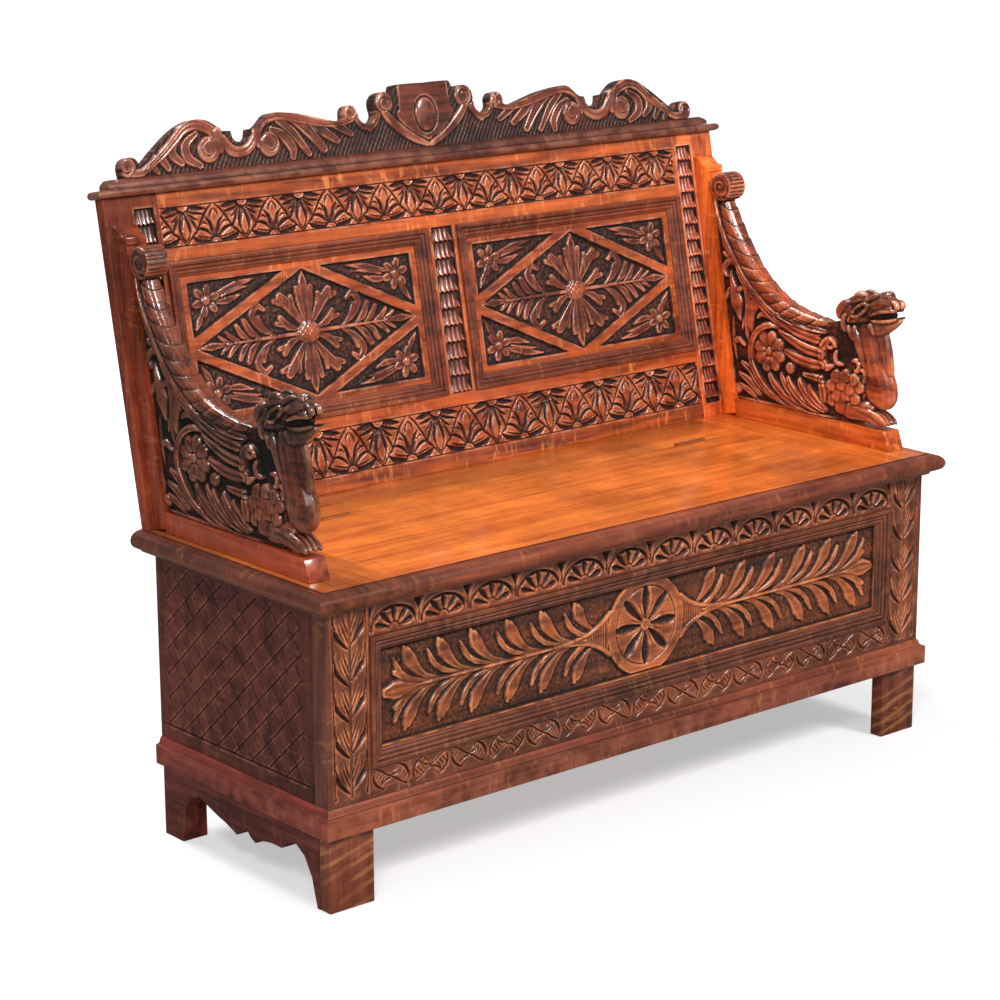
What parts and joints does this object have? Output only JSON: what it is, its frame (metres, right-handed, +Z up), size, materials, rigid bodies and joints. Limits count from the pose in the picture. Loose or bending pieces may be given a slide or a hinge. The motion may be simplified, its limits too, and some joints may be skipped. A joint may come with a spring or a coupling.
{
  "type": "settle bench",
  "caption": "Carved oak box settle bench with a hinged seat lid over a chest, a raked panelled back with a carved crest, and beast-head arms.",
  "frame": {"origin": "on the floor, under the middle of the bench's bounding box", "axes": "+X along the seat to the viewer's right, +Y to the back, +Z up"},
  "size_m": [1.252, 0.575, 1.0604],
  "materials": {
    "seat_oak": "bright orange-brown oak under a worn gloss polish",
    "back_oak": "quarter-sawn oak, red-brown gloss polish",
    "carved_oak": "carved oak with near-black recesses and polished high points",
    "dark_oak": "dark burgundy-brown oak, gloss polish",
    "plain_oak": "unpolished inside and rear oak",
    "hinge_steel": "dull aged steel"
  },
  "bodies": {
    "settle": {"arm_beast_left": "carved_oak", "arm_beast_right": "carved_oak", "arm_post_left": "dark_oak", "arm_post_right": "dark_oak", "arm_rail_left": "dark_oak", "arm_rail_right": "dark_oak", "back_bottom_rail": "back_oak", "back_moulding_left_bottom": "carved_oak", "back_moulding_left_left": "carved_oak", "back_moulding_left_right": "carved_oak", "back_moulding_left_top": "carved_oak", "back_moulding_right_bottom": "carved_oak", "back_moulding_right_left": "carved_oak", "back_moulding_right_right": "carved_oak", "back_moulding_right_top": "carved_oak", "back_muntin": "back_oak", "back_panel_left": "carved_oak", "back_panel_right": "carved_oak", "back_stile_left": "back_oak", "back_stile_right": "back_oak", "back_top_rail": "back_oak", "cap_moulding": "dark_oak", "chest_floor": "plain_oak", "chest_front_bottom_rail": "carved_oak", "chest_front_moulding_bottom": "carved_oak", "chest_front_moulding_left": "carved_oak", "chest_front_moulding_right": "carved_oak", "chest_front_moulding_top": "carved_oak", "chest_front_panel": "carved_oak", "chest_front_stile_left": "carved_oak", "chest_front_stile_right": "carved_oak", "chest_front_top_rail": "carved_oak", "chest_rear_board": "plain_oak", "chest_side_left": "dark_oak", "chest_side_right": "dark_oak", "crest_base": "dark_oak", "crest_board": "carved_oak", "foot_front_left": "dark_oak", "foot_front_right": "dark_oak", "foot_rear_left": "dark_oak", "foot_rear_right": "dark_oak", "hinge_fixed_leaf_left": "hinge_steel", "hinge_fixed_leaf_right": "hinge_steel", "hinge_pin_left": "hinge_steel", "hinge_pin_right": "hinge_steel", "plinth_front": "dark_oak", "plinth_left": "dark_oak", "plinth_rear": "plain_oak", "plinth_right": "dark_oak", "seat_rear_rail": "seat_oak", "seat_side_board_left": "seat_oak", "seat_side_board_right": "seat_oak", "side_bracket_left": "dark_oak", "side_bracket_right": "dark_oak"},
    "lid": {"seat_lid": "seat_oak", "lid_batten_left": "plain_oak", "lid_batten_right": "plain_oak", "hinge_lid_leaf_left": "hinge_steel", "hinge_lid_leaf_right": "hinge_steel"}
  },
  "joints": [
    {"name": "lid_hinge", "type": "hinge", "parent": "settle", "child": "lid", "pos_m": [0, 0.03452, 0.466], "axis": [-1, 0, 0], "range_deg": [0, 118]}
  ]
}
